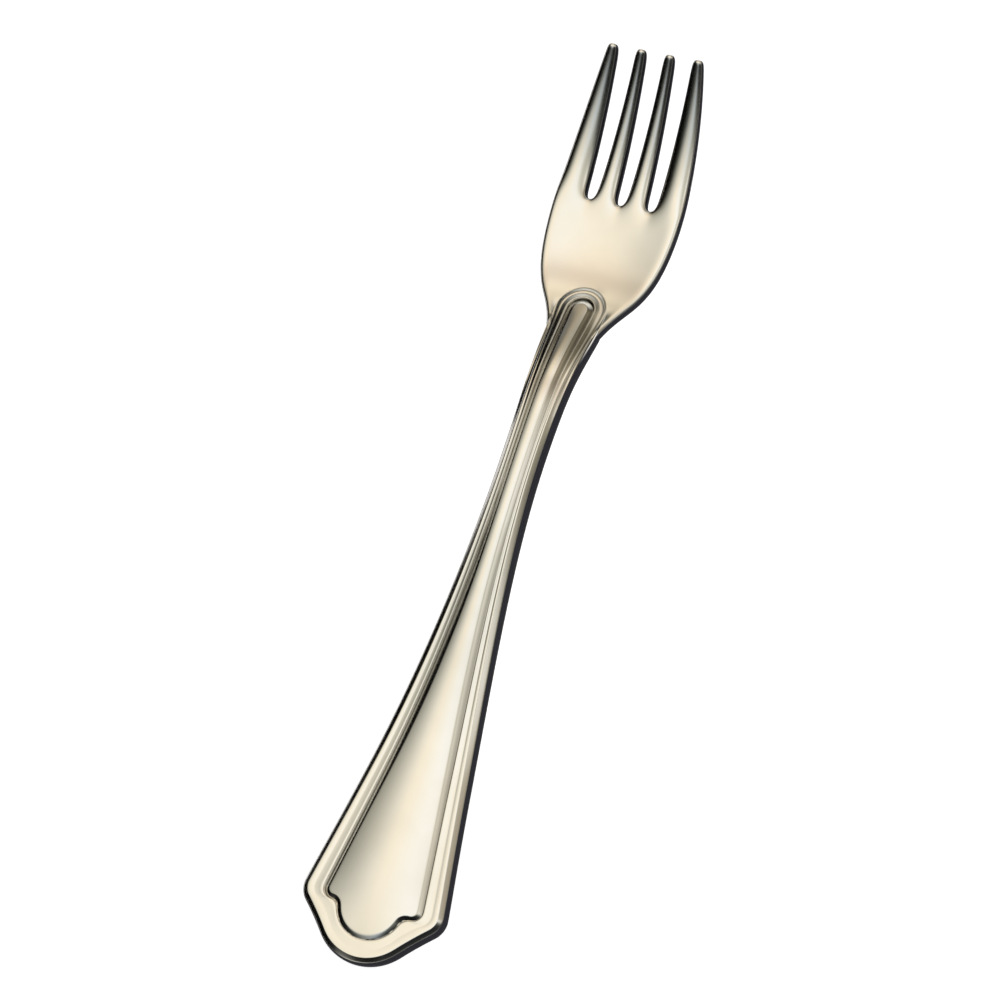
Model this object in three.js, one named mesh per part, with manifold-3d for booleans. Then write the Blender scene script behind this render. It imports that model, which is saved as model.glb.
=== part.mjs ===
// A small cocktail fork with four tines, pressed from one piece of stainless steel.
// Millimetres. +Y runs along the fork to the tips of its tines, +X across it and +Z up.
// The fork lies on z = 0 and its length and width are centred on the origin.
import * as THREE from 'three';
import { mergeVertices } from 'three/addons/utils/BufferGeometryUtils.js';
import Module from 'manifold-3d';

const wasm = await Module();
wasm.setup();

// The fork is four stretches long, from the round end of the handle to the tips.
const TAPER_LENGTH = 81.2; // the handle's end to its waist, where it is narrowest
const NECK_LENGTH = 26.4; // the waist to the centre of the arch
const PALM_LENGTH = 18.6; // the centre of the arch to the roots of the slots
const TINE_LENGTH = 23.8; // the roots of the slots to the tips

// The outline of the handle, seen from above: a round lobe, a notch and a shoulder on each side.
const LOBE_RADIUS = 8.9;
const LOBE_END_ANGLE = -39; // degrees from straight across, where the lobe meets the notch
const SHOULDER_START_ANGLE = -50;
const SHOULDER_END_ANGLE = 8; // of both outlines
const SHOULDER_HALF_WIDTH = 11.95;
const SHOULDER_RADIUS = 3.5;
const SHOULDER_Y = 9.8; // the centre of the shoulder's arc
const NOTCH_REACH = 1;
const TAPER_REACH = 2.5; // how far the side's curve follows the shoulder
const WAIST_REACH = 27.3; // how far the side's curve runs straight into the waist
const WAIST_HALF_WIDTH = 3.4;
const NECK_REACH = 17.7;
const ARCH_RADIUS = 4.55;
const ARCH_REACH = 6.6;

// The outline of the crowned panel, which narrows to a rib along the stem.
const PANEL_MARGIN = 3.75; // the end of the handle to the end of the panel
const PANEL_LOBE_RADIUS = 5.5;
const PANEL_LOBE_END_ANGLE = -17;
const PANEL_SHOULDER_START_ANGLE = -92;
const PANEL_HALF_WIDTH = 8.2;
const PANEL_CORNER_RADIUS = 1.7;
const PANEL_SHOULDER_Y = 10.1;
const PANEL_NOTCH_REACH = 0.5;
const PANEL_TAPER_REACH = 20;
const PANEL_WAIST_REACH = 28;
const RIB_HALF_WIDTH = 1.55;
const RIB_TIP_RADIUS = 1.9;
const RIB_TIP_REACH = 4;

// The relief on the handle: the rounded rim, a broad bead and a fine one, and the panel.
const RIM_WIDTH = 0.8;
const RIM_DROP = 1.1; // the top of the wall, below the rim's inner side
const BEAD_RISE = 0.04; // the crests of both beads, above the rim's inner side
const FINE_GROOVE_DEPTH = 0.09;
const PANEL_GROOVE_DEPTH = 0.45;
const PANEL_FLANK_WIDTH = 0.8;
const PANEL_FLANK_RISE = 0.4;
const PANEL_CROWN = 0.46; // the middle of the panel at its widest, above the top of its flanks

// The thickness of the metal.
const HANDLE_THICKNESS = 2.3;
const NECK_THICKNESS = 2.85;
const PALM_THICKNESS = 2.1;
const TIP_THICKNESS = 1.3;
const ARCH_RISE = 0.4; // how far the arch stands out of the palm
const EDGE_ROUND = 0.4; // the soft lower edge of the handle, and both edges of the head
const SUNK_PALM = 0.5; // how far the palm's top is lowered where the arch and the rib cover it

// The side view: flat under the handle's end, up to a crest at the neck, down, and up the tines.
const REST_LENGTH = 30; // the flat stretch under the handle's end
const CREST_PAST_WAIST = 10.4;
const CREST_RISE = 4;
const BOWL_BEFORE_ROOTS = 11;
const TIP_RISE = 8.6;
const DISH_DEPTH = 0.6; // the palm's edges above its middle

// The head: its neck hides inside the handle, and its slots part the tines.
const HEAD_NECK_LENGTH = 14; // how far the head reaches back from the arch's centre
const SEAM_BEFORE_ARCH = 5.1; // where the handle's underside hands over to the head's
const HEAD_NECK_HALF_WIDTH = 3.3;
const HEAD_HALF_WIDTH = 10.95;
const HEAD_NECK_REACH = 20.3;
const HEAD_SHOULDER_REACH = 22.4;
const HEAD_FLANK_REACH = 2.3;
const HEAD_TIP_REACH = 9;
const TINE_LEAN_ANGLE = 102; // degrees, the direction of the outer tines' outer edge
const TUCK_DEPTH = 0.5; // how deep the hidden end of each of the two bodies lies in the other
const TINE_COUNT = 4;
const TINE_ROOT_WIDTH = 3.55;
const TINE_TIP_WIDTH = 2;
const GAP_ROOT = 1.65;
const GAP_TIP = 2.85;
const TIP_ROUND = 0.6;
const CUT_OVERRUN = 5;

// Places along the fork that follow from those sizes.
const WAIST_Y = TAPER_LENGTH;
const ARCH_Y = WAIST_Y + NECK_LENGTH;
const ROOT_Y = ARCH_Y + PALM_LENGTH;
const TIP_Y = ROOT_Y + TINE_LENGTH;
const CREST_Y = WAIST_Y + CREST_PAST_WAIST;
const BOWL_Y = ROOT_Y - BOWL_BEFORE_ROOTS;
const HEAD_START_Y = ARCH_Y - HEAD_NECK_LENGTH;
const SEAM_Y = ARCH_Y - SEAM_BEFORE_ARCH;
const PITCH_ROOT = TINE_ROOT_WIDTH + GAP_ROOT;
const PITCH_TIP = TINE_TIP_WIDTH + GAP_TIP;
const TIPS_HALF_WIDTH = ((TINE_COUNT - 1) * PITCH_TIP + TINE_TIP_WIDTH) / 2;

// How many steps each stretch of an outline is drawn in.
const LOBE_STEPS = 7;
const NOTCH_STEPS = 3;
const SHOULDER_STEPS = 6;
const TAPER_STEPS = 16;
const NECK_STEPS = 7;
const SEAM_STEPS = 2; // the seam to the arch's centre
const ARCH_STEPS = 6;
const HEAD_NECK_STEPS = 3;
const PALM_STEPS = 12;
const TINE_STEPS = 10;
const ROUND_STEPS = 3;
const LEVEL_HALVINGS = 40; // how often a curve is halved to find where it reaches a level

const { smoothstep, lerp, degToRad } = THREE.MathUtils;

// The height of the fork's underside along its middle line.
function undersideAt(y) {
  const crest = smoothstep(y, REST_LENGTH, CREST_Y) * (1 - smoothstep(y, CREST_Y, BOWL_Y));
  const sweep = Math.max(0, (y - BOWL_Y) / (TIP_Y - BOWL_Y));
  return CREST_RISE * crest + TIP_RISE * sweep * sweep;
}

// The underside is tucked up where a body's end hides inside the other body.
function handleUnder(y) {
  return TUCK_DEPTH * smoothstep(y, SEAM_Y, ARCH_Y);
}

function headUnder(y) {
  return TUCK_DEPTH * (1 - smoothstep(y, HEAD_START_Y, SEAM_Y));
}

function handleThickness(y) {
  const swell = smoothstep(y, REST_LENGTH, WAIST_Y);
  const drop = smoothstep(y, HEAD_START_Y, ARCH_Y + ARCH_RADIUS);
  const stem = lerp(HANDLE_THICKNESS, NECK_THICKNESS, swell);
  return lerp(stem, PALM_THICKNESS + ARCH_RISE, drop);
}

function headThickness(y) {
  return lerp(PALM_THICKNESS, TIP_THICKNESS, Math.max(0, (y - ROOT_Y) / TINE_LENGTH));
}

// The top of the head, which stays below the groove round the rib's tip.
function headTop(x, y) {
  const insideArch = ARCH_RADIUS - Math.hypot(x, Math.max(0, y - ARCH_Y));
  return headThickness(y) - SUNK_PALM * smoothstep(insideArch, RIM_WIDTH, ARCH_RADIUS - RIB_TIP_RADIUS);
}

// The palm is dished: its sides rise towards its edges, and less so at the neck and the tips.
function dishAt(x, y) {
  const fade = smoothstep(y, HEAD_START_Y, BOWL_Y) * (1 - smoothstep(y, BOWL_Y, TIP_Y) / 2);
  return DISH_DEPTH * fade * (x / HEAD_HALF_WIDTH) ** 2;
}

// A point of the plan, lifted to a height above the underside and moved so the fork is centred.
function place(x, y, height) {
  return new THREE.Vector3(x, y - TIP_Y / 2, undersideAt(y) + dishAt(x, y) + height);
}

// A closed skin of triangles, gathered point by point.
class Skin {
  constructor() {
    this.points = [];
    this.triangles = [];
  }

  add(point) {
    this.points.push(point);
    return this.points.length - 1;
  }

  triangle(a, b, c) {
    if (a !== b && b !== c && c !== a) {
      this.triangles.push(a, b, c);
    }
  }

  quad(a, b, c, d) {
    this.triangle(a, b, c);
    this.triangle(a, c, d);
  }

  // The band between two closed rings; each ring runs anticlockwise seen from above.
  band(lower, upper) {
    for (let i = 0; i < lower.length; i += 1) {
      const j = (i + 1) % lower.length;
      this.quad(lower[i], lower[j], upper[j], upper[i]);
    }
  }

  // A sheet across rows of points that run from left to right; it faces up unless turned.
  sheet(rows, facesUp) {
    for (let i = 0; i + 1 < rows.length; i += 1) {
      for (let k = 0; k + 1 < rows[i].length; k += 1) {
        const corners = [rows[i][k], rows[i][k + 1], rows[i + 1][k + 1], rows[i + 1][k]];
        this.quad(...(facesUp ? corners : corners.reverse()));
      }
    }
  }

  solid() {
    const vertProperties = new Float32Array(this.points.flatMap((p) => p.toArray()));
    return solidOf(vertProperties, new Uint32Array(this.triangles));
  }
}

function solidOf(vertProperties, triVerts) {
  return new wasm.Manifold(new wasm.Mesh({ numProp: 3, vertProperties, triVerts }));
}

function solidOfGeometry(geometry) {
  geometry.deleteAttribute('normal');
  geometry.deleteAttribute('uv');
  const merged = mergeVertices(geometry);
  return solidOf(new Float32Array(merged.attributes.position.array), new Uint32Array(merged.index.array));
}

function geometryOf(solid) {
  const mesh = solid.getMesh();
  const geometry = new THREE.BufferGeometry();
  geometry.setAttribute('position', new THREE.BufferAttribute(mesh.vertProperties, 3));
  geometry.setIndex(new THREE.BufferAttribute(mesh.triVerts, 1));
  geometry.computeVertexNormals();
  return geometry;
}

function arc(centreX, centreY, radius, fromDegrees, toDegrees) {
  return new THREE.EllipseCurve(
    centreX, centreY, radius, radius, degToRad(fromDegrees), degToRad(toDegrees), toDegrees < fromDegrees,
  );
}

// A curve that leaves one point and reaches another along the two directions given.
function bend(from, fromDegrees, fromReach, to, toDegrees, toReach) {
  const leave = new THREE.Vector2(Math.cos(degToRad(fromDegrees)), Math.sin(degToRad(fromDegrees)));
  const arrive = new THREE.Vector2(Math.cos(degToRad(toDegrees)), Math.sin(degToRad(toDegrees)));
  return new THREE.CubicBezierCurve(
    from,
    from.clone().addScaledVector(leave, fromReach),
    to.clone().addScaledVector(arrive, -toReach),
    to,
  );
}

// The levels after one place along the fork, up to and with another, in equal steps.
function levelsBetween(from, to, steps) {
  return Array.from({ length: steps }, (_, i) => lerp(from, to, (i + 1) / steps));
}

// Where a curve that climbs along the fork reaches each of the levels given.
function pointsAtLevels(curve, levels) {
  return levels.map((level) => {
    let below = 0;
    let above = 1;
    for (let i = 0; i < LEVEL_HALVINGS; i += 1) {
      const middle = (below + above) / 2;
      if (curve.getPoint(middle).y < level) {
        below = middle;
      } else {
        above = middle;
      }
    }
    return new THREE.Vector2(curve.getPoint(above).x, level);
  });
}

// The points of curves that follow each other, each curve in its own steps or at its own levels.
function pointsAlong(stretches) {
  const points = [stretches[0].curve.getPoint(0)];
  for (const { curve, steps, levels } of stretches) {
    points.push(...(levels ? pointsAtLevels(curve, levels) : curve.getPoints(steps).slice(1)));
  }
  return points;
}

// The right half of a handle-shaped outline, from its round end up to the top of its arch.
function halfOutline(size) {
  const lobe = arc(0, size.endY + size.lobeRadius, size.lobeRadius, -90, size.lobeEnd);
  const shoulder = arc(
    size.halfWidth - size.shoulderRadius, size.shoulderY, size.shoulderRadius,
    size.shoulderStart, SHOULDER_END_ANGLE,
  );
  const waist = new THREE.Vector2(size.waistHalfWidth, WAIST_Y);
  const top = arc(0, ARCH_Y, size.archRadius, 0, 90);
  const notch = bend(
    lobe.getPoint(1), size.lobeEnd + 90, size.notchReach,
    shoulder.getPoint(0), size.shoulderStart + 90, size.notchReach,
  );
  const side = bend(
    shoulder.getPoint(1), SHOULDER_END_ANGLE + 90, size.taperReach, waist, 90, size.waistReach,
  );
  const neck = bend(waist, 90, size.neckReach, top.getPoint(0), 90, size.archReach);
  return pointsAlong([
    { curve: lobe, steps: LOBE_STEPS },
    { curve: notch, steps: NOTCH_STEPS },
    { curve: shoulder, steps: SHOULDER_STEPS },
    { curve: side, steps: TAPER_STEPS },
    {
      curve: neck,
      levels: [...levelsBetween(WAIST_Y, SEAM_Y, NECK_STEPS), ...levelsBetween(SEAM_Y, ARCH_Y, SEAM_STEPS)],
    },
    { curve: top, steps: ARCH_STEPS },
  ]);
}

const edgeOutline = halfOutline({
  endY: 0,
  lobeRadius: LOBE_RADIUS,
  lobeEnd: LOBE_END_ANGLE,
  shoulderStart: SHOULDER_START_ANGLE,
  notchReach: NOTCH_REACH,
  halfWidth: SHOULDER_HALF_WIDTH,
  shoulderRadius: SHOULDER_RADIUS,
  shoulderY: SHOULDER_Y,
  taperReach: TAPER_REACH,
  waistReach: WAIST_REACH,
  waistHalfWidth: WAIST_HALF_WIDTH,
  neckReach: NECK_REACH,
  archRadius: ARCH_RADIUS,
  archReach: ARCH_REACH,
});

const panelOutline = halfOutline({
  endY: PANEL_MARGIN,
  lobeRadius: PANEL_LOBE_RADIUS,
  lobeEnd: PANEL_LOBE_END_ANGLE,
  shoulderStart: PANEL_SHOULDER_START_ANGLE,
  notchReach: PANEL_NOTCH_REACH,
  halfWidth: PANEL_HALF_WIDTH,
  shoulderRadius: PANEL_CORNER_RADIUS,
  shoulderY: PANEL_SHOULDER_Y,
  taperReach: PANEL_TAPER_REACH,
  waistReach: PANEL_WAIST_REACH,
  waistHalfWidth: RIB_HALF_WIDTH,
  neckReach: NECK_REACH,
  archRadius: RIB_TIP_RADIUS,
  archReach: RIB_TIP_REACH,
});

// The line between the rounded rim and the beads, at the same distance from the edge all round.
const rimOutline = edgeOutline.map((edge, i) => {
  const panel = panelOutline[i];
  return edge.clone().lerp(panel, RIM_WIDTH / edge.distanceTo(panel));
});

// The rim's section from the wall, 0, to its inner side, 1, and how far each place lies below
// that side.
const rimSection = [
  { share: 0, drop: RIM_DROP },
  { share: 0.2, drop: RIM_DROP * 0.45 },
  { share: 0.55, drop: RIM_DROP * 0.14 },
  { share: 1, drop: 0 },
];

// The section from the rim's inner side, 0, over both beads to the foot of the panel, 1.
const beadSection = [
  { share: 0.2, drop: -BEAD_RISE },
  { share: 0.5, drop: FINE_GROOVE_DEPTH },
  { share: 0.8, drop: -BEAD_RISE },
  { share: 0.9, drop: 0 },
  { share: 1, drop: PANEL_GROOVE_DEPTH },
];

// The places across the panel, as shares of its half width.
const panelShares = [-1, -0.9, -0.75, -0.45, 0, 0.45, 0.75, 0.9, 1];

const panelSides = panelOutline.slice(1).map((point, i) => new THREE.Line3(
  new THREE.Vector3(panelOutline[i].x, panelOutline[i].y, 0),
  new THREE.Vector3(point.x, point.y, 0),
));

// How far the panel rises at a point: up its flank, then over its crown.
function panelRise(x, y) {
  const point = new THREE.Vector3(Math.abs(x), y, 0);
  const nearest = new THREE.Vector3();
  const fromSide = Math.min(
    ...panelSides.map((side) => side.closestPointToPoint(point, true, nearest).distanceTo(point)),
  );
  const flank = PANEL_FLANK_RISE * smoothstep(fromSide, 0, PANEL_FLANK_WIDTH);
  const toMiddle = Math.min(1, fromSide / PANEL_HALF_WIDTH);
  return flank + PANEL_CROWN * (1 - (1 - toMiddle) ** 2);
}

// A closed ring part of the way from one outline to another, at a height given along the fork.
function ringBetween(skin, outer, inner, share, heightAt) {
  const right = outer.map((point, i) => point.clone().lerp(inner[i], share));
  const left = right.slice(1, -1).reverse().map((p) => new THREE.Vector2(-p.x, p.y));
  return [...right, ...left].map((p) => skin.add(place(p.x, p.y, heightAt(p.y))));
}

// The rows of a ring, each from its left point to its right one, with points between them.
function rowsAcross(skin, ring, shares, middlePoint) {
  const half = ring.length / 2;
  const rows = [];
  for (let i = 0; i <= half; i += 1) {
    const right = ring[i];
    const left = ring[(ring.length - i) % ring.length];
    const isEnd = left === right;
    rows.push(shares.map((share, k) => {
      if (k === 0) {
        return left;
      }
      if (k === shares.length - 1 || isEnd) {
        return right;
      }
      return skin.add(middlePoint(skin.points[right], share));
    }));
  }
  return rows;
}

// The handle: flat below, with the rim, the beads and the panel above.
function handleSolid() {
  const skin = new Skin();
  const footShare = EDGE_ROUND / RIM_WIDTH;
  const under = (rise) => (y) => handleUnder(y) + rise;
  const top = (drop) => (y) => handleThickness(y) - drop;
  const foot = ringBetween(skin, edgeOutline, rimOutline, footShare, under(0));
  const wallFoot = ringBetween(skin, edgeOutline, rimOutline, 0, under(EDGE_ROUND));
  const rim = rimSection.map(({ share, drop }) => {
    return ringBetween(skin, edgeOutline, rimOutline, share, top(drop));
  });
  const beads = beadSection.map(({ share, drop }) => {
    return ringBetween(skin, rimOutline, panelOutline, share, top(drop));
  });
  const rings = [foot, wallFoot, ...rim, ...beads];
  rings.slice(1).forEach((ring, i) => skin.band(rings[i], ring));
  skin.sheet(rowsAcross(skin, foot, [-1, 1], null), false);
  const panel = (edge, share) => {
    const rise = panelRise(edge.x * share, edge.y + TIP_Y / 2);
    return new THREE.Vector3(edge.x * share, edge.y, edge.z + rise);
  };
  skin.sheet(rowsAcross(skin, rings.at(-1), panelShares, panel), true);
  return skin.solid();
}

// The right edge of the head in plan, from inside the neck to the tips.
function headEdge() {
  const start = new THREE.Vector2(HEAD_NECK_HALF_WIDTH, HEAD_START_Y);
  const widest = new THREE.Vector2(HEAD_HALF_WIDTH, ROOT_Y);
  const corner = arc(TIPS_HALF_WIDTH - TIP_ROUND, TIP_Y - TIP_ROUND, TIP_ROUND, 0, 90);
  const flare = bend(start, 90, HEAD_NECK_REACH, widest, 90, HEAD_SHOULDER_REACH);
  const flank = bend(widest, 90, HEAD_FLANK_REACH, corner.getPoint(0), TINE_LEAN_ANGLE, HEAD_TIP_REACH);
  return pointsAlong([
    {
      curve: flare,
      levels: [
        ...levelsBetween(HEAD_START_Y, SEAM_Y, HEAD_NECK_STEPS),
        ...levelsBetween(SEAM_Y, ROOT_Y, PALM_STEPS),
      ],
    },
    { curve: flank, steps: TINE_STEPS },
    { curve: corner, steps: ROUND_STEPS },
  ]);
}

// The head before its slots are cut: a dished plate with soft edges.
function headBlank() {
  const skin = new Skin();
  const insideShares = [-1, -0.75, -0.5, -0.25, 0, 0.25, 0.5, 0.75, 1];
  const top = [];
  const bottom = [];
  for (const edge of headEdge()) {
    const low = headUnder(edge.y);
    const high = headThickness(edge.y);
    const flat = edge.x - EDGE_ROUND;
    const left = skin.add(place(-edge.x, edge.y, (low + high) / 2));
    const right = skin.add(place(edge.x, edge.y, (low + high) / 2));
    const across = (heightAt) => insideShares.map((share) => {
      return skin.add(place(flat * share, edge.y, heightAt(flat * share, edge.y)));
    });
    top.push([left, ...across(headTop), right]);
    bottom.push([left, ...across(() => low), right]);
  }
  skin.sheet(top, true);
  skin.sheet(bottom, false);
  skin.sheet([bottom[0], top[0]], true);
  skin.sheet([bottom.at(-1), top.at(-1)], false);
  return skin.solid();
}

// One slot between two tines: round at its root, wider at the tips, which it rounds off.
function slotCutter(side) {
  const wall = (sign) => {
    const root = new THREE.Vector2(side * PITCH_ROOT + sign * GAP_ROOT / 2, ROOT_Y + GAP_ROOT / 2);
    const tip = new THREE.Vector2(side * PITCH_TIP + sign * GAP_TIP / 2, TIP_Y - TIP_ROUND);
    const round = arc(tip.x + sign * TIP_ROUND, tip.y, TIP_ROUND, 90 + sign * 90, 90);
    return [root, ...round.getPoints(ROUND_STEPS)];
  };
  const right = wall(1);
  const left = wall(-1);
  const root = arc(side * PITCH_ROOT, ROOT_Y + GAP_ROOT / 2, GAP_ROOT / 2, 180, 360);
  const end = TIP_Y + CUT_OVERRUN;
  const outline = [
    ...root.getPoints(4 * ROUND_STEPS).slice(0, -1),
    ...right,
    new THREE.Vector2(right.at(-1).x, end),
    new THREE.Vector2(left.at(-1).x, end),
    ...left.slice(1).reverse(),
  ];
  const depth = TIP_RISE + PALM_THICKNESS + 2 * CUT_OVERRUN;
  const prism = new THREE.ExtrudeGeometry(new THREE.Shape(outline), { depth, bevelEnabled: false });
  prism.translate(0, -TIP_Y / 2, -CUT_OVERRUN);
  return solidOfGeometry(prism);
}

function forkSolid() {
  let head = headBlank();
  for (let i = 1; i < TINE_COUNT; i += 1) {
    head = head.subtract(slotCutter(i - TINE_COUNT / 2));
  }
  return handleSolid().add(head);
}

const polishedSteel = new THREE.MeshStandardMaterial({
  name: 'polished_steel',
  color: 0xe2dccb,
  metalness: 1,
  roughness: 0.16,
});

const fork = new THREE.Mesh(geometryOf(forkSolid()), polishedSteel);
fork.name = 'fork';

const model = new THREE.Group();
model.add(fork);

export default model;
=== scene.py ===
# %% [markdown]
# A small fork with four tines, pressed from one piece of stainless steel.
# A press blanks the fork out of strip, its dies raise the border and the panel on the handle and
# dish the palm, and a cloth wheel polishes it.
# The script follows the same order: a flat blank with its relief, then the bend, then the polish.
# The imported model is loaded first. It is the frame.

# %% The frame
import math

import bmesh
import bpy
from mathutils import Matrix, Vector
from mathutils.geometry import interpolate_bezier
from mathutils.kdtree import KDTree


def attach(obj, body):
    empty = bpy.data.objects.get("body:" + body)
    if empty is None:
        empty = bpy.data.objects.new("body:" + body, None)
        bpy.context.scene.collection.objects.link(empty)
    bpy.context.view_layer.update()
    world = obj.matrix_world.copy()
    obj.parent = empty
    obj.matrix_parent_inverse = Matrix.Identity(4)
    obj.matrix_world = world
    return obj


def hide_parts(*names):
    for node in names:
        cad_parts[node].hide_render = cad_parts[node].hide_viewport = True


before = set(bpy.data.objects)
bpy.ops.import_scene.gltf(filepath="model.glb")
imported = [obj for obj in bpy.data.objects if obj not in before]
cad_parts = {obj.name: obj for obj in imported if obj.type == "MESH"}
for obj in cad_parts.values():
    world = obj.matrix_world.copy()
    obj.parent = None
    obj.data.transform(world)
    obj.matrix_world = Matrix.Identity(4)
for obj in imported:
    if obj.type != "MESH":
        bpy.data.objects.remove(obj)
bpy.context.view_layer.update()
MM = 0.001

# %% [markdown]
# The sizes of the real fork, in millimetres. Along the fork, 0 is the round end of the handle and
# 150 the tips of the tines. The frame's origin lies under the middle of the fork. A size that only
# one step needs is named there, and names that end in Y are places along the fork.

# %% Sizes along the fork
LENGTH = 150
WAIST_Y = 81.2
ARCH_Y = 107.6
BOWL_Y = 115.2
ROOT_Y = 126.2
SEAM_Y = 103.8
STEM_THICKNESS = 2.3
NECK_THICKNESS = 2.85
ARCH_THICKNESS = 2.5
PALM_THICKNESS = 2.1
TIP_THICKNESS = 1.3


def place(x, y, z=0.0):
    """A point of the fork, given in millimetres, as a point of the frame in metres."""
    return Vector((x * MM, (y - LENGTH / 2) * MM, z * MM))


print("waist at", WAIST_Y, "mm, arch at", ARCH_Y, "mm, roots of the slots at", ROOT_Y, "mm")

# %% [markdown]
# The camera stands where the photographer stood: a long lens, almost over the fork, a little to
# its right and a little towards the handle's end, and turned so that the fork lies aslant.

# %% Camera
SIDE_ANGLE = math.radians(22)
END_ANGLE = math.radians(14.97)
ROLL_ANGLE = math.radians(19.64)
DISTANCE = 0.604
LENS = 141.4
AIM_RIGHT = -1.64 * MM
AIM_HEIGHT = 4 * MM

back = Vector((
    math.sin(SIDE_ANGLE),
    -math.sin(END_ANGLE) * math.cos(SIDE_ANGLE),
    math.cos(END_ANGLE) * math.cos(SIDE_ANGLE),
))
along = (Vector((0, 1, 0)) - back * back.y).normalized()
across = along.cross(back)
right = across * math.cos(ROLL_ANGLE) + along * math.sin(ROLL_ANGLE)
up = along * math.cos(ROLL_ANGLE) - across * math.sin(ROLL_ANGLE)

camera_data = bpy.data.cameras.new("camera")
camera_data.lens = LENS
camera_data.sensor_width = 36
camera_data.clip_start = 0.01
camera = bpy.data.objects.new("camera", camera_data)
bpy.context.scene.collection.objects.link(camera)
camera.rotation_mode = "QUATERNION"
camera.rotation_quaternion = Matrix((right, up, back)).transposed().to_quaternion()
camera.location = Vector((0, 0, AIM_HEIGHT)) + back * DISTANCE + right * AIM_RIGHT
bpy.context.scene.camera = camera
bpy.context.scene.view_settings.view_transform = "Standard"
print("camera at", [round(v, 3) for v in camera.location])

# %% [markdown]
# Colours are written as on a screen, and Blender's shaders want linear light.
# One function turns them, and one adds a node with its settings and links.

# %% Helpers for materials


def linear(hex_colour):
    """A screen colour such as #808080 as linear red, green, blue and alpha."""
    parts = [int(hex_colour[i : i + 2], 16) / 255 for i in (1, 3, 5)]
    return [c / 12.92 if c <= 0.04045 else ((c + 0.055) / 1.055) ** 2.4 for c in parts] + [1]


def add_node(tree, kind, links=None, values=None, **settings):
    """Adds a node, sets its properties and its sockets' values, and links outputs to its sockets."""
    node = tree.nodes.new(kind)
    for name, value in settings.items():
        setattr(node, name, value)
    for socket, value in (values or {}).items():
        node.inputs[socket].default_value = value
    for socket, source in (links or {}).items():
        tree.links.new(source, node.inputs[socket])
    return node


# %% [markdown]
# A polished fork shows the room it lies in, so the light is part of its look. This room is bright
# overhead, dark far to the left and behind the neck, and grey at the handle's end.
# Lamps would give hard spots, so the room is drawn in the world: five ramps of colour, each along
# one direction, multiplied. Along a direction, -1 is one side of the room and 1 the other. Low down,
# all walls but the left one are pale, so that the fork isn't black from other sides.

# %% World
world = bpy.data.worlds.new("studio")
bpy.context.scene.world = world
world.use_nodes = True
tree = world.node_tree
tree.nodes.clear()
sky = add_node(tree, "ShaderNodeTexCoord")
left_to_right = {
    -1.0: "#10100e", -0.9: "#141412", -0.8: "#242422", -0.7: "#6a6a64", -0.6: "#a8a8a0",
    -0.5: "#d2d0c8", -0.42: "#f4efe4", -0.375: "#fff5e4", -0.28: "#fffaf0", -0.2: "#ffffff",
    -0.08: "#ffffff", 0.0: "#e4e2da", 0.1: "#cccac2", 0.3: "#cac8c0", 0.42: "#e4e2da",
    0.54: "#ffffff", 0.66: "#ecebe4", 0.8: "#a4a29a", 1.0: "#a09e96",
}
handle_to_tines = {
    -1.0: "#b4b8ba", -0.8: "#8c9296", -0.6: "#5c6266", -0.4: "#969ea6", -0.28: "#b4bec6",
    -0.16: "#c8ced2", -0.07: "#e2e4e2", 0.0: "#fafaf6", 0.08: "#fffffc", 0.2: "#fffefa",
    0.3: "#fff9f0", 0.38: "#e9dfd4", 0.43: "#e3d9ce", 0.48: "#e8dfd4", 0.54: "#fff8ea",
    0.62: "#e0d8ca", 0.68: "#aaa496", 0.8: "#78746c", 1.0: "#b4b2aa",
}
left_corner = {
    -1.0: "#d0d0d0", -0.62: "#a8a8a8", -0.5: "#383838", -0.42: "#282828", -0.39: "#484848",
    -0.35: "#909090", -0.31: "#dcdcdc", -0.26: "#ffffff", 0.33: "#ffffff", 0.42: "#a8a49a",
}
right_corner = {
    0.15: "#ffffff", 0.2: "#a0a0a0", 0.26: "#383838", 0.44: "#303030", 0.54: "#b0b0b0",
    1.0: "#d8d8d8",
}
neck_corner = {0.0: "#ffffff", 0.51: "#ffffff", 0.57: "#989898", 0.63: "#585858", 1.0: "#585858"}
room_sides = (
    ((1, 0, 0), left_to_right),
    ((0, 1, 0), handle_to_tines),
    ((0.5, 0.5, 0), left_corner),
    ((0.35, -0.65, 0), right_corner),
    ((-0.5, 0.5, 0), neck_corner),
)
LOW_FROM, LOW_TO = 0.6, 0.3
LEFT_FROM, LEFT_TO = -0.45, -0.7
PALE_WALL = "#e6e6e0"

light = None
for direction, stops in room_sides:
    sideways = add_node(tree, "ShaderNodeVectorMath", {0: sky.outputs["Generated"]}, {1: direction},
                        operation="DOT_PRODUCT")
    share = add_node(tree, "ShaderNodeMapRange", {0: sideways.outputs["Value"]}, {1: -1, 2: 1})
    ramp = add_node(tree, "ShaderNodeValToRGB", {0: share.outputs[0]})
    steps = ramp.color_ramp.elements
    while len(steps) < len(stops):
        steps.new(0.5)
    for step, (spot, hex_colour) in zip(steps, stops.items()):
        step.position = (spot + 1) / 2
        step.color = linear(hex_colour)
    if light is None:
        light = ramp.outputs[0]
    else:
        both = add_node(tree, "ShaderNodeMix", {6: light, 7: ramp.outputs[0]}, {"Factor": 1.0},
                        data_type="RGBA", blend_type="MULTIPLY")
        light = both.outputs[2]
view = add_node(tree, "ShaderNodeSeparateXYZ", {0: sky.outputs["Generated"]})
low_down = add_node(tree, "ShaderNodeMapRange", {0: view.outputs["Z"]},
                    {1: LOW_TO, 2: LOW_FROM, 3: 1, 4: 0}, interpolation_type="SMOOTHSTEP")
not_left = add_node(tree, "ShaderNodeMapRange", {0: view.outputs["X"]}, {1: LEFT_TO, 2: LEFT_FROM})
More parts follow.
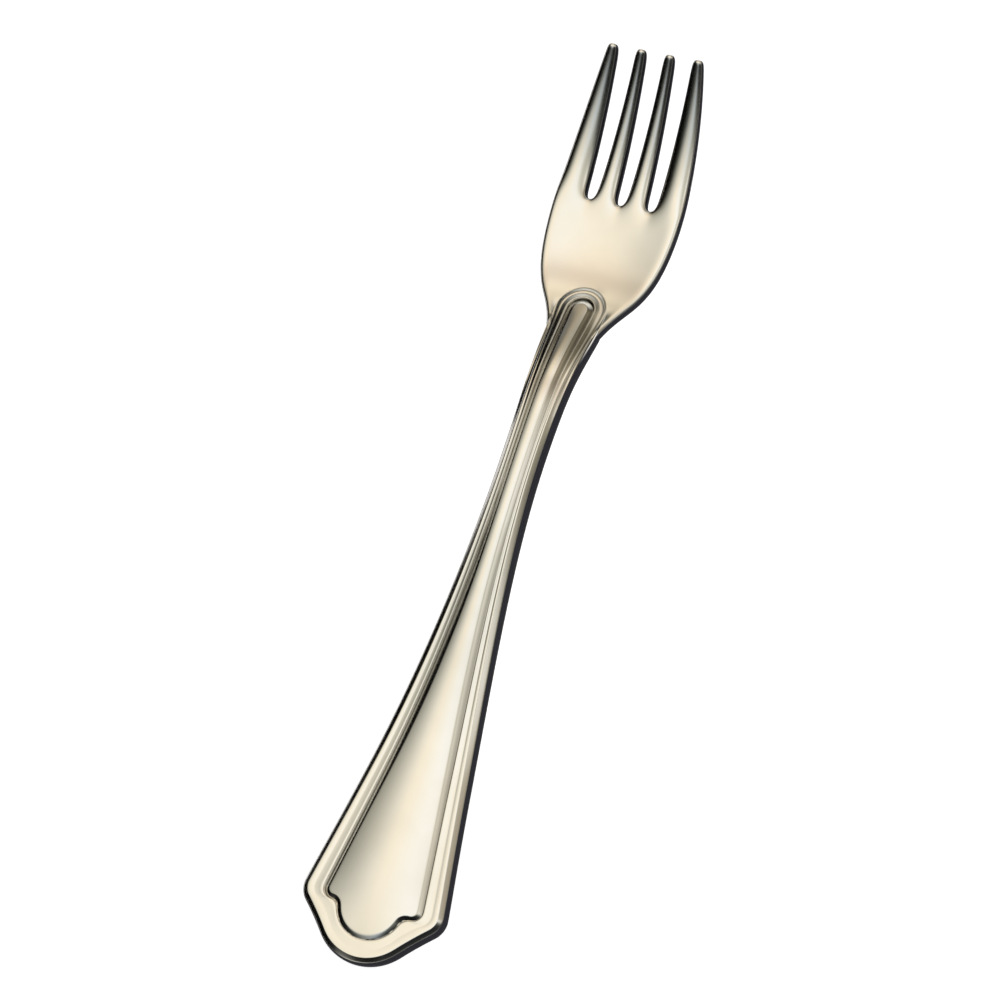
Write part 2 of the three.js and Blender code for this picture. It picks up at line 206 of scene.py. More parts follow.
pale = add_node(tree, "ShaderNodeMath", {0: low_down.outputs[0], 1: not_left.outputs[0]},
                operation="MULTIPLY")
walls = add_node(tree, "ShaderNodeMix", {"Factor": pale.outputs[0], 6: light},
                 {7: linear(PALE_WALL)}, data_type="RGBA")
background = add_node(tree, "ShaderNodeBackground", {"Color": walls.outputs[2]})
add_node(tree, "ShaderNodeOutputWorld", {"Surface": background.outputs[0]})
print("the room has", len(room_sides), "ramps of colour")

# %% [markdown]
# The photograph has a plain white ground. White paper would throw light up at the fork's sides, so
# the floor is grey paper that glows only for the camera and for rays that mirror or pass through.
# It still takes the fork's shadow.

# %% Floor
FLOOR_SIZE = 6
bpy.ops.object.select_all(action="DESELECT")
bpy.ops.mesh.primitive_plane_add(size=FLOOR_SIZE)
floor = bpy.context.object
floor.name = "floor"
paper = bpy.data.materials.new("white_paper")
paper.use_nodes = True
tree = paper.node_tree
tree.nodes.clear()
path = add_node(tree, "ShaderNodeLightPath")
seen = add_node(tree, "ShaderNodeMath",
                {0: path.outputs["Is Camera Ray"], 1: path.outputs["Is Glossy Ray"]},
                operation="MAXIMUM")
seen = add_node(tree, "ShaderNodeMath", {0: seen.outputs[0], 1: path.outputs["Is Transmission Ray"]},
                operation="MAXIMUM")
matt = add_node(tree, "ShaderNodeBsdfDiffuse", values={"Color": linear("#c8c8c8")})
glow = add_node(tree, "ShaderNodeEmission", {"Strength": seen.outputs[0]},
                {"Color": linear("#f2f2f4")})
both = add_node(tree, "ShaderNodeAddShader", {0: matt.outputs[0], 1: glow.outputs[0]})
add_node(tree, "ShaderNodeOutputMaterial", {"Surface": both.outputs[0]})
floor.data.materials.append(paper)
print("floor:", [round(v, 2) for v in floor.dimensions], "m")

# %% [markdown]
# Hand tools. A point starts a section, `pull` extrudes what is selected, `turn` and `grow` turn and
# scale it about a point, and `pick` selects by a rule.

# %% Tools


def start_mesh(name, point):
    """A new object with one vertex: a small plane whose corners are merged."""
    bpy.ops.object.select_all(action="DESELECT")
    bpy.ops.mesh.primitive_plane_add(size=MM, enter_editmode=True)
    bpy.ops.mesh.merge(type="CENTER")
    bpy.ops.transform.translate(value=point)
    bpy.context.object.name = name
    return bpy.context.object


def pull(step):
    """Extrudes what is selected by a step."""
    bpy.ops.mesh.extrude_region_move(TRANSFORM_OT_translate={"value": step})


def turn(angle, centre):
    """Turns what is selected anticlockwise, seen from above."""
    bpy.ops.transform.rotate(value=-angle, orient_axis="Z", center_override=centre)


def grow(factors, centre):
    """Scales what is selected about a point."""
    bpy.ops.transform.resize(value=factors, center_override=centre)


def pick(kind, rule):
    """Selects the vertices, edges or faces that a rule picks, and says how many there are."""
    mesh = bpy.context.object.data
    bpy.ops.mesh.select_all(action="DESELECT")
    bpy.ops.mesh.select_mode(type=kind.upper())
    cage = bmesh.from_edit_mesh(mesh)
    found = 0
    for part in {"vert": cage.verts, "edge": cage.edges, "face": cage.faces}[kind]:
        if rule(part):
            part.select = True
            found += 1
    cage.select_flush_mode()
    bmesh.update_edit_mesh(mesh)
    return found


def sweep(name, section, outer, inner, heights=None):
    """Pulls a section along two rails. A point of the section is a share of the way from the outer
    rail to the inner one, and a height above the outer rail, which the list of heights scales."""
    heights = heights or [1] * len(outer)
    spots = []
    for share, z in section:
        spot = outer[0] + (inner[0] - outer[0]) * share
        spots.append(Vector((spot.x, spot.y, outer[0].z + z * heights[0] * MM)))
    piece = start_mesh(name, spots[0])
    for a, b in zip(spots, spots[1:]):
        pull(b - a)
    bpy.ops.mesh.select_all(action="SELECT")
    for i in range(1, len(outer)):
        before = (inner[i - 1] - outer[i - 1]).xy
        after = (inner[i] - outer[i]).xy
        pull(outer[i] - outer[i - 1])
        turn(-before.angle_signed(after), outer[i])
        size = after.length / before.length
        grow((size, size, heights[i] / heights[i - 1]), outer[i])
    bpy.ops.object.mode_set(mode="OBJECT")
    return piece


# %% [markdown]
# The outline of the handle and of the panel inside it: a round lobe, a notch, a shoulder, a long
# taper to the waist, and the neck with its arch. On the real fork a punch shears the outer one out
# of the strip. Each could be a curve object, but as rails with the same number of stations the
# sections between them meet point by point.

# %% Rails of the handle


def arc(x, y, radius, start, end, steps):
    """Points on an arc round a centre, anticlockwise from one angle to another, in degrees."""
    angles = [math.radians(start + (end - start) * k / steps) for k in range(steps + 1)]
    return [place(x + radius * math.cos(a), y + radius * math.sin(a)) for a in angles]


def towards(degrees, reach):
    """A step in a direction, which 90 turns to the tines."""
    return Vector((math.cos(math.radians(degrees)), math.sin(math.radians(degrees)), 0)) * reach * MM


def bend(a, a_degrees, a_reach, b, b_degrees, b_reach, steps):
    """A curve that leaves a and reaches b along the directions given."""
    leave = a + towards(a_degrees, a_reach)
    arrive = b - towards(b_degrees, b_reach)
    return interpolate_bezier(a, leave, arrive, b, steps + 1)


def level_points(curve, ys):
    """The points of a curve at given places along the fork."""
    points = []
    for y in ys:
        y = min(max(y, curve[0].y), curve[-1].y)
        for a, b in zip(curve, curve[1:]):
            if a.y <= y <= b.y:
                points.append(a.lerp(b, (y - a.y) / (b.y - a.y)))
                break
    return points


LOBE_STEPS, NOTCH_STEPS, SHOULDER_STEPS, TAPER_STEPS, NECK_STEPS, ARCH_STEPS = 8, 4, 7, 20, 9, 8
CORNER = LOBE_STEPS + NOTCH_STEPS + SHOULDER_STEPS
FINE_STEPS = 400
SHOULDER_END = 8
NECK_REACH = 17.7


def half_outline(end_y, lobe_radius, lobe_end, notch_reach, shoulder_start, half_width,
                 shoulder_radius, shoulder_y, taper_reach, waist_reach, waist, arch_radius, arch_reach):
    """The right half of an outline, from the round end to the top of the arch. A reach is how far
    a curve keeps to its direction at an end."""
    lobe = arc(0, end_y + lobe_radius, lobe_radius, -90, lobe_end, LOBE_STEPS)
    shoulder = arc(half_width - shoulder_radius, shoulder_y, shoulder_radius, shoulder_start,
                   SHOULDER_END, SHOULDER_STEPS)
    notch = bend(lobe[-1], lobe_end + 90, notch_reach, shoulder[0], shoulder_start + 90, notch_reach,
                 NOTCH_STEPS)
    narrow = place(waist, WAIST_Y)
    taper = bend(shoulder[-1], SHOULDER_END + 90, taper_reach, narrow, 90, waist_reach, FINE_STEPS)
    start = shoulder[-1].y
    ys = [start + (narrow.y - start) * k / TAPER_STEPS for k in range(1, TAPER_STEPS + 1)]
    side = level_points(taper, ys)
    top = arc(0, ARCH_Y, arch_radius, 0, 90, ARCH_STEPS)
    neck = bend(narrow, 90, NECK_REACH, top[0], 90, arch_reach, FINE_STEPS)
    ys = [narrow.y + (top[0].y - narrow.y) * k / NECK_STEPS for k in range(1, NECK_STEPS)]
    return lobe + notch[1:] + shoulder[1:] + side + level_points(neck, ys) + top


edge_rail = half_outline(
    end_y=0, lobe_radius=8.9, lobe_end=-39, notch_reach=1, shoulder_start=-50, half_width=11.95,
    shoulder_radius=3.5, shoulder_y=9.8, taper_reach=2.5, waist_reach=27.3, waist=3.4,
    arch_radius=4.55, arch_reach=6.6,
)
panel_rail = half_outline(
    end_y=3.75, lobe_radius=5.5, lobe_end=-17, notch_reach=0.5, shoulder_start=-92, half_width=8.2,
    shoulder_radius=1.7, shoulder_y=10.1, taper_reach=20, waist_reach=28, waist=1.6,
    arch_radius=2.2, arch_reach=4,
)


def inset(rail, distances):
    """A rail moved to its left by a distance at each station; its two ends stay on the middle line."""
    moved = []
    last = len(rail) - 1
    for i, point in enumerate(rail):
        if i == 0:
            side = Vector((0, 1, 0))
        elif i == last:
            side = Vector((0, -1, 0))
        else:
            step = rail[i + 1] - rail[i - 1]
            side = Vector((-step.y, step.x, 0)).normalized()
        moved.append(point + side * distances[i] * MM)
    return moved


def raised(rail, heights):
    """A rail lifted to a height at each station."""
    return [Vector((p.x, p.y, z * MM)) for p, z in zip(rail, heights)]


def smoothstep(x, a, b):
    """Climbs from 0 at a to 1 at b, level at both."""
    t = min(1, max(0, (x - a) / (b - a)))
    return t * t * (3 - 2 * t)


END_ZONE = (15, 45)
WAIST_START = 55
ARCH_START = WAIST_Y + 3


def along_handle(rail, end, stem, waist, arch):
    """A value at each station that blends from the handle's end to the stem, the waist and the arch."""
    values = []
    for point in rail:
        y = point.y / MM + LENGTH / 2
        value = end + (stem - end) * smoothstep(y, *END_ZONE)
        value += (waist - stem) * smoothstep(y, WAIST_START, WAIST_Y)
        value += (arch - waist) * smoothstep(y, ARCH_START, ARCH_Y)
        values.append(value)
    return values


RIM_WIDTHS = (1.0, 1.1, 1.0, 0.7)
rim_rail = inset(edge_rail, along_handle(edge_rail, *RIM_WIDTHS))
top_rail = inset(panel_rail, along_handle(panel_rail, 0.8, 1.15, 0.75, 1.0))


END_FAN_Y, END_FAN_SPREAD = 10.6, 3.2
FAN_LEAN, FAN_ROWS = 3.4, 4
ARCH_FAN_Y, ARCH_FAN_SPREAD = ARCH_Y - 0.3, 0.7


def spine_point(i, point):
    """Where the row of a station ends on the middle line; round the ends the rows fan out."""
    y = point.y / MM + LENGTH / 2
    if i <= CORNER:
        y = END_FAN_Y + END_FAN_SPREAD * i / CORNER
    elif i < CORNER + FAN_ROWS:
        y += FAN_LEAN * (1 - (i - CORNER) / FAN_ROWS)
    elif i >= len(edge_rail) - 1 - ARCH_STEPS:
        turned = 1 - (len(edge_rail) - 1 - i) / ARCH_STEPS
        y = ARCH_FAN_Y + ARCH_FAN_SPREAD * turned
    return place(0, y)


spine_rail = [spine_point(i, p) for i, p in enumerate(panel_rail)]
print(len(edge_rail), "stations on each rail of the handle")

# %% [markdown]
# The dies raise a border round the real handle. Here it is two sections pulled round the outline,
# which keeps its lines unbroken where carving them into a plate would not. The first is the wall
# and its rounded edge. The second is a low bead, a very shallow groove, a second bead and the drop
# to the foot of the panel. The panel's flank climbs from there, and its top is flat until it is
# pressed. The relief is lower round the handle's end.

# %% Border and panel of the handle
T = STEM_THICKNESS
FOOT_SHARE = 0.35
FOOT_DEPTH = 0.38
PANEL_RISE = 0.35
END_RELIEF = 0.3
relief = along_handle(edge_rail, 1, 1.1, 0.8, 1.3)
for i in range(CORNER):
    relief[i] *= END_RELIEF + (1 - END_RELIEF) * smoothstep(i, 0, CORNER)
rim_section = [
    (FOOT_SHARE, 0), (0.1, 0.05), (0, 0.3), (0, 0.75), (0, T - 1.2), (0.04, T - 0.95),
    (0.12, T - 0.68), (0.24, T - 0.43), (0.44, T - 0.31), (0.65, T - 0.19), (0.85, T - 0.08),
    (0.95, T - 0.025), (1, T),
]
rim = sweep("rim", rim_section, edge_rail, rim_rail)
bead_section = [
    (0, 0), (0.08, 0.02), (0.2, 0.02), (0.3, 0.006), (0.36, -0.008), (0.41, -0.014), (0.47, -0.009),
    (0.58, 0.005), (0.7, 0.025), (0.8, 0.045), (0.87, 0.045), (0.93, 0.02), (0.965, -0.04),
    (0.985, -0.2), (1, -FOOT_DEPTH),
]
beads = sweep("beads", bead_section, raised(rim_rail, [T] * len(rim_rail)), panel_rail, relief)
flank_section = [(0, 0), (0.12, 0.055), (0.35, 0.155), (0.62, 0.255), (0.85, 0.325), (1, PANEL_RISE)]
foot_line = raised(panel_rail, [T - FOOT_DEPTH * r for r in relief])
flank = sweep("flank", flank_section, foot_line, top_rail, relief)
crown_line = raised(top_rail, [T - (FOOT_DEPTH - PANEL_RISE) * r for r in relief])
crown_section = [(share, 0) for share in (0, 0.07, 0.2, 0.4, 0.6, 0.8, 1)]
crown = sweep("crown", crown_section, crown_line, spine_rail, relief)
foot_rail = [a.lerp(b, FOOT_SHARE) for a, b in zip(edge_rail, rim_rail)]
back_section = [(0, 0), (0.1, 0), (0.3, 0), (0.6, 0), (1, 0)]
underside = sweep("underside", back_section, foot_rail, spine_rail)


MERGE = 0.004 * MM


def join(name, pieces):
    """Joins pieces into one object and merges the points they share."""
    bpy.ops.object.select_all(action="DESELECT")
    for piece in pieces:
        piece.select_set(True)
    bpy.context.view_layer.objects.active = pieces[0]
    bpy.ops.object.join()
    piece = bpy.context.object
    piece.name = name
    bpy.ops.object.mode_set(mode="EDIT")
    bpy.ops.mesh.select_all(action="SELECT")
    bpy.ops.mesh.remove_doubles(threshold=MERGE)
    bpy.ops.object.mode_set(mode="OBJECT")
    return piece


def name_group(piece, group, lowest=-1):
    """Puts the points of a piece above a height, in millimetres, in a vertex group."""
    bpy.ops.object.select_all(action="DESELECT")
    piece.select_set(True)
    bpy.context.view_layer.objects.active = piece
    bpy.ops.object.mode_set(mode="EDIT")
    found = pick("vert", lambda v: v.co.z > lowest * MM)
    bpy.ops.object.vertex_group_assign_new()
    bpy.ops.object.mode_set(mode="OBJECT")
    piece.vertex_groups[-1].name = group
    print("group", group, "takes", found, "points")


for piece in (flank, crown):
    name_group(piece, "panel")
handle = join("handle", [rim, beads, flank, crown, underside])
print("half a handle:", len(handle.data.vertices), "points,", len(handle.data.polygons), "faces")

# %% [markdown]
# The real handle is the same on both sides, so the other half is a mirror copy, merged at the
# middle line. Subdivision then rounds the cage, as the polishing wheel softens what the dies leave.
# The foot of the panel is creased first, so that it stays a sharp line.

# %% Whole handle
MIDDLE_MERGE = 0.01 * MM
ROUNDING_LEVELS = 2


def apply_modifier(piece, kind, **settings):
    """Adds a modifier, sets it and applies it."""
    bpy.ops.object.select_all(action="DESELECT")
    piece.select_set(True)
    bpy.context.view_layer.objects.active = piece
    modifier = piece.modifiers.new(kind.lower(), kind)
    for name, value in settings.items():
        setattr(modifier, name, value)
    bpy.ops.object.modifier_apply(modifier=modifier.name)


def face_outwards(piece):
    """Merges doubles and turns every face outwards."""
    bpy.ops.object.select_all(action="DESELECT")
    piece.select_set(True)
    bpy.context.view_layer.objects.active = piece
    bpy.ops.object.mode_set(mode="EDIT")
    bpy.ops.mesh.select_all(action="SELECT")
    bpy.ops.mesh.remove_doubles(threshold=MERGE)
    bpy.ops.mesh.normals_make_consistent(inside=False)
    bpy.ops.object.mode_set(mode="OBJECT")


foot_spots = [point.xy for point in panel_rail]


def on_foot(vertex):
    """Whether a point of the top lies on the foot of the panel."""
    return vertex.co.z > MM and min((vertex.co.xy - spot).length for spot in foot_spots) < MERGE


bpy.ops.object.mode_set(mode="EDIT")
print("edges along the panel's foot:", pick("edge", lambda e: all(on_foot(v) for v in e.verts)))
bpy.ops.transform.edge_crease(value=1)
bpy.ops.object.mode_set(mode="OBJECT")
apply_modifier(handle, "MIRROR", use_axis=(True, False, False), use_clip=True,
               merge_threshold=MIDDLE_MERGE)
face_outwards(handle)
apply_modifier(handle, "SUBSURF", levels=ROUNDING_LEVELS, render_levels=ROUNDING_LEVELS)
print("handle:", len(handle.data.polygons), "faces")

# %% [markdown]
# The panel swells to a low dome, and the border of the neck leans outwards like a roof. Each is made
# by a lattice: its lower layer stays, its upper layer rises or falls, and its smooth curves leave no
# ripple, which moving the points of the cage by hand would.

# %% Dome of the panel and roof of the neck
DOME_SHARE = 0.078
DOME_START, DOME_CLIMB = 3, 13
DOME_END = (ARCH_Y - 2, ARCH_Y + 1.5)
ROOF_RIDGE = 1.2
ROOF_CURVE = 0.075
ROOF_START = (84, 95)
ROOF_END = (103, 109)
ROOF_FADE = 0.6
HANDLE_GRID = (19, 66, 2)


def press(piece, name, low, high, counts, new_height, group=""):
    """Presses a piece with a lattice between two corners, in millimetres. new_height gives each
    lattice point its height, and a vertex group limits what is pressed."""
    lattice = bpy.data.lattices.new(name)
    lattice.points_u, lattice.points_v, lattice.points_w = counts
    lattice.interpolation_type_u = "KEY_BSPLINE"
    lattice.interpolation_type_v = "KEY_BSPLINE"
    lattice.interpolation_type_w = "KEY_LINEAR"
    die = bpy.data.objects.new(name, lattice)
    bpy.context.scene.collection.objects.link(die)
    cell = [(b - a) / (n - 1) for a, b, n in zip(low, high, counts)]
    middle = [(a + b) / 2 for a, b in zip(low, high)]
    die.scale = Vector(cell) * MM
    die.location = place(*middle)
    bpy.context.view_layer.update()
    for point in lattice.points:
        x, y, z = (point.co[k] * cell[k] + middle[k] for k in range(3))
        height = (new_height(x, y, z) - middle[2]) / cell[2]
        point.co_deform = (point.co.x, point.co.y, height)
    apply_modifier(piece, "LATTICE", object=die, vertex_group=group)
    bpy.data.objects.remove(die)


panel_side = top_rail[CORNER:-ARCH_STEPS]


def dome(x, y):
    """How far the panel's top rises above its flank."""
    width = level_points(panel_side, [place(0, y).y])[0].x / MM
    end = min(1, max(0, (y - DOME_START) / DOME_CLIMB))
    fade = (1 - (1 - end) ** 2) * (1 - smoothstep(y, *DOME_END))
    return DOME_SHARE * width * (1 - (x / width) ** 2) * fade


def roof(x, y):
    """How far the border of the neck and its arch falls away from the ridge."""
    along_neck = smoothstep(y, *ROOF_START) * (1 - ROOF_FADE * smoothstep(y, *ROOF_END))
    reach = math.hypot(x, max(0, y - ARCH_Y))
    return -ROOF_CURVE * max(0, reach - ROOF_RIDGE) ** 2 * along_neck


name_group(handle, "relief", T - FOOT_DEPTH - 0.05)
low, high = (-10.8, -5, T - FOOT_DEPTH), (10.8, 125, T - FOOT_DEPTH + PANEL_RISE)
for name, rise, group in (("panel_die", dome, "panel"), ("neck_die", roof, "relief")):
    press(handle, name, low, high, HANDLE_GRID,
          lambda x, y, z: z + (rise(x, y) if z > (low[2] + high[2]) / 2 else 0), group)
print("dome of the panel:", round(dome(0, 20), 2), "mm")
print("roof of the neck:", round(roof(3.8, 98), 2), "mm")

# %% [markdown]
# The head is the thin palm and the four tines, punched from the same strip as the handle. Its slots
# part it, so no section could be pulled round it. It is box-modelled instead: a block at the neck,
# its end face pulled along the palm row by row, then the ends of the tines' columns pulled on to
# the tips.

# %% Palm
HEAD_START_Y = 93.6
TIP_Y = 149.4
HEAD_FLAT = PALM_THICKNESS * STEM_THICKNESS / ARCH_THICKNESS
PITCH_ROOT, PITCH_TIP = 5.2, 4.85
GAP_ROOT, GAP_TIP = 1.65, 2.85
HEAD_HALF, NECK_HALF, TIP_CORNER = 10.95, 3.3, 8.275
SLOT_RADIUS = GAP_ROOT / 2
SLOT_MIDDLE = 0.45 * SLOT_RADIUS
columns = [0, SLOT_MIDDLE, SLOT_RADIUS, 2.6, PITCH_ROOT - SLOT_RADIUS, PITCH_ROOT - SLOT_MIDDLE,
           PITCH_ROOT + SLOT_MIDDLE, PITCH_ROOT + SLOT_RADIUS, 8.5, HEAD_HALF]
widest = place(HEAD_HALF, ROOT_Y)
flare = bend(a=place(NECK_HALF, HEAD_START_Y), a_degrees=90, a_reach=20.3,
             b=widest, b_degrees=90, b_reach=22.4, steps=FINE_STEPS)
outer_side = bend(a=widest, a_degrees=90, a_reach=2.3,
                  b=place(TIP_CORNER, TIP_Y), b_degrees=102, b_reach=9, steps=FINE_STEPS)
head_curve = flare + outer_side[1:]


def half_width(y):
    """Half the width of the head at y."""
    return level_points(head_curve, [(y - LENGTH / 2) * MM])[0].x / MM


palm_ys = [HEAD_START_Y, 96, 98.5, 101, 103.5, 106, 108.2, 109.6, 111.2, 113.5, 116, 118.5, 121,
           123.2, 125, ROOT_Y + SLOT_RADIUS]
BLOCK_LENGTH = 0.5
bpy.ops.object.select_all(action="DESELECT")
bpy.ops.mesh.primitive_cube_add(size=1, enter_editmode=True)
head = bpy.context.object
head.name = "head"
start_width = half_width(HEAD_START_Y)
grow((start_width * MM, BLOCK_LENGTH * MM, HEAD_FLAT * MM), (0, 0, 0))
bpy.ops.transform.translate(
    value=place(start_width / 2, HEAD_START_Y - BLOCK_LENGTH / 2, HEAD_FLAT / 2))
for x in columns[1:-1]:
    bpy.ops.mesh.select_all(action="SELECT")
    cut = place(x / HEAD_HALF * start_width, HEAD_START_Y)
    bpy.ops.mesh.bisect(plane_co=cut, plane_no=(1, 0, 0))
print(pick("face", lambda f: f.normal.y > 0.9), "faces at the head's end")
for y0, y1 in zip(palm_ys, palm_ys[1:]):
    pull((0, (y1 - y0) * MM, 0))
    grow((half_width(y1) / half_width(y0), 1, 1), (0, 0, 0))

# %% [markdown]
# The tines are pulled from the palm's end faces, row by row, each row moved and narrowed to its
# width. They end in short, narrower rows that round the tips. The outer side of the outer tine
# follows the outline of the head. Then the head is mirrored, and an inset along its edges, lowered a
# little, rounds them.

# %% Tines
root_y = palm_ys[-1]
tine_ys = [root_y, 129, 132, 136, 140, 144, 147, 149]
TIP_ROW, TIP_NARROWING = 1.0, 0.75
ROOT_PUSH = 0.85
SUNK_CORNERS = ((3.2, 107), (1.4, 110))
SUNK = 0.6
EDGE_WIDTH, EDGE_DROP, TINE_EDGE_DROP = 0.46, 0.34, 0.2
BACK_EDGE_WIDTH, BACK_EDGE_DROP = 0.45, 0.3


def tine_sides(k, y):
    """The left and right side of tine k, 0 the inner and 1 the outer, at y."""
    t = (y - root_y) / (TIP_Y - root_y)
    left_root = k * PITCH_ROOT + SLOT_RADIUS
    left = left_root + t * (k * PITCH_TIP + GAP_TIP / 2 - k * PITCH_ROOT - SLOT_RADIUS)
    if k == 1:
        return left, half_width(y)
    right_root = PITCH_ROOT - SLOT_RADIUS
    right_tip = PITCH_TIP - GAP_TIP / 2
    return left, right_root + t * (right_tip - right_root)


for k in (0, 1):
    a, b = tine_sides(k, root_y)
    found = pick("face", lambda f: f.normal.y > 0.9 and a * MM < f.calc_center_median().x < b * MM
                 and abs(f.calc_center_median().y - place(0, root_y).y) < 1e-5)
    print("tine", k, "starts from", found, "faces")
    for y0, y1 in zip(tine_ys, tine_ys[1:]):
        a0, b0 = tine_sides(k, y0)
        a1, b1 = tine_sides(k, y1)
        pull(((a1 + b1 - a0 - b0) / 2 * MM, (y1 - y0) * MM, 0))
        grow(((b1 - a1) / (b0 - a0), 1, 1), place((a1 + b1) / 2, y1))
    pull((0, TIP_ROW * MM, 0))
    grow((TIP_NARROWING, 1, 1), place((a1 + b1) / 2, y1))

# The middle of each slot's root is pushed back, so that the slot ends round.
for centre in (0, PITCH_ROOT):
    found = pick("vert", lambda v: abs(v.co.y - place(0, root_y).y) < 1e-6
                 and abs(v.co.x / MM - centre) < 0.5 * SLOT_RADIUS)
    bpy.ops.transform.translate(value=(0, -ROOT_PUSH * SLOT_RADIUS * MM, 0))
    print("root at", centre, "pushed back:", found)
# Inside the arch the head's top is sunk, so that it stays below the grooves of the handle.
found = pick("vert", lambda v: v.co.z > HEAD_FLAT * MM / 2
             and any(v.co.y < place(0, y).y and v.co.x < x * MM for x, y in SUNK_CORNERS))
bpy.ops.transform.translate(value=(0, 0, -SUNK * MM))
print("points of the head sunk inside the arch:", found)
found = pick("face", lambda f: abs(f.normal.x) > 0.9 and abs(f.calc_center_median().x) < 1e-7)
print("faces on the middle line", found)
bpy.ops.mesh.delete(type="FACE")
bpy.ops.object.mode_set(mode="OBJECT")
apply_modifier(head, "MIRROR", use_axis=(True, False, False), use_clip=True,
               merge_threshold=MIDDLE_MERGE)
face_outwards(head)
bpy.ops.object.mode_set(mode="EDIT")
for facing, width, depth in ((1, EDGE_WIDTH, EDGE_DROP), (-1, BACK_EDGE_WIDTH, BACK_EDGE_DROP)):
    found = pick("face", lambda f: f.normal.z * facing > 0.8)
    bpy.ops.mesh.inset(thickness=width * MM, depth=0, use_even_offset=True)
    rim_found = pick("vert", lambda v: abs(v.co.z - (facing + 1) / 2 * HEAD_FLAT * MM) < 1e-7
                     and any(abs(f.normal.z) < 0.5 for f in v.link_faces))
    bpy.ops.transform.translate(value=(0, 0, -facing * depth * MM))
    print("rounding: faces", found, "edge points", rim_found)
edge_height = HEAD_FLAT - EDGE_DROP
found = pick("vert", lambda v: abs(v.co.z / MM - edge_height) < 1e-4
             and v.co.y > place(0, ROOT_Y + 2).y)
bpy.ops.transform.translate(value=(0, 0, -TINE_EDGE_DROP * MM))
print("edge points of the tines lowered further:", found)
bpy.ops.object.mode_set(mode="OBJECT")
apply_modifier(head, "SUBSURF", levels=ROUNDING_LEVELS, render_levels=ROUNDING_LEVELS)
print("head:", len(head.data.polygons), "faces")

# %% [markdown]
# The tops of the tines are rounded from side to side, which the polishing wheel does as it runs
# into the slots. A finer lattice lowers them away from the middle of each tine.

# %% Rounded tops of the tines
TINE_CROWN = 0.18
CROWN_START = (123, 131)
CROWN_LIMIT = 1.6
TINE_GRID = (45, 19, 2)


def tine_crown(x, y):
    """How far the top of a tine falls away from its middle."""
    (a, b), (c, d) = tine_sides(0, y), tine_sides(1, y)
    left, right = (a, b) if abs(x) < (b + c) / 2 else (c, d)
    half = (right - left) / 2
    away = abs(abs(x) - (left + right) / 2) / half
    return -TINE_CROWN * half * min(CROWN_LIMIT, away ** 2) * smoothstep(y, *CROWN_START)


name_group(head, "tops", HEAD_FLAT / 2)
press(head, "tine_die", (-14.3, 118, 0), (14.3, 154, HEAD_FLAT), TINE_GRID,
      lambda x, y, z: z + (tine_crown(x, y) if z > HEAD_FLAT / 2 else 0), "tops")
edge_fall = -tine_crown(PITCH_ROOT - SLOT_RADIUS, 135)
print("a tine's edge lies", round(edge_fall, 2), "mm below its middle")

# %% [markdown]
# The real fork has no joint: handle and head are one blank. They are modelled apart because one has
# a border and the other has slots, and a union makes them one skin. The underside of the handle
# runs into that of the head at one line across the neck. Beyond that line each underside is tucked
# up inside the other piece, so that the weld leaves no step. Points that the weld leaves closer
# than two thousandths of a millimetre are merged, which closes the mesh.

# %% Weld
TUCK_LEVEL = 1.0
TUCK_SCALE = 0.5
SPLIT = 0.03
CUT_SNAP = 0.0001 * MM
SLIVER = 0.002 * MM


def tuck(piece, y, side):
    """Lifts the underside beyond y; side is 1 towards the tines and -1 towards the handle's end."""
    bpy.ops.object.select_all(action="DESELECT")
    piece.select_set(True)
    bpy.context.view_layer.objects.active = piece
    bpy.ops.object.mode_set(mode="EDIT")
    bpy.ops.mesh.select_all(action="SELECT")
    bpy.ops.mesh.bisect(plane_co=place(0, y), plane_no=(0, 1, 0), threshold=CUT_SNAP)
    line = place(0, y).y
    found = pick("vert", lambda v: side * (v.co.y - line) > SLIVER and v.co.z < TUCK_LEVEL * MM)
    grow((1, 1, TUCK_SCALE), place(0, y, TUCK_LEVEL))
    bpy.ops.object.mode_set(mode="OBJECT")
    print(piece.name, "tucked points:", found)


tuck(handle, SEAM_Y + SPLIT, 1)
tuck(head, SEAM_Y - SPLIT, -1)
apply_modifier(handle, "BOOLEAN", operation="UNION", object=head, solver="EXACT")
bpy.data.objects.remove(head)
fork = handle
fork.name = "pressed_fork"
bpy.ops.object.mode_set(mode="EDIT")
bpy.ops.mesh.select_all(action="SELECT")
bpy.ops.mesh.remove_doubles(threshold=SLIVER)
bpy.ops.mesh.dissolve_degenerate(threshold=SLIVER)
open_edges = pick("edge", lambda e: not e.is_manifold)
bpy.ops.object.mode_set(mode="OBJECT")
print("welded:", len(fork.data.polygons), "faces, open edges:", open_edges)

# %% [markdown]
# The polish differs from place to place: the edge is left rougher than the top. The edge is also
# painted dark, a painted reflection of a dark room, and the bottom of the deep groove is painted
# darker and browner, as painted shade. Both are marked on the mesh while the fork is flat, as
# numbers from 0 to 1 that the material reads.

# %% Marks for the polish, the painted edge reflection and the painted groove shade
OUTLINE_PARTS = 8
outline = []
for a, b in zip(edge_rail, edge_rail[1:]):
    outline += [a.lerp(b, k / OUTLINE_PARTS) for k in range(OUTLINE_PARTS)]
widths = along_handle(outline, *RIM_WIDTHS)
nearest = KDTree(len(outline))
for i, point in enumerate(outline):
    nearest.insert(point, i)
nearest.balance()
WALL_TOP = T - 0.6
WALL_BLEND = (WALL_TOP - 0.1, WALL_TOP + 0.2)
HEAD_BLEND = (98, 103)
GROOVE_BLEND = (0.12, 0.4)
RIM_BLEND = (0.5, 1)
PAST_ARCH_Y = ARCH_Y + 3
neck_side = edge_rail[CORNER:]


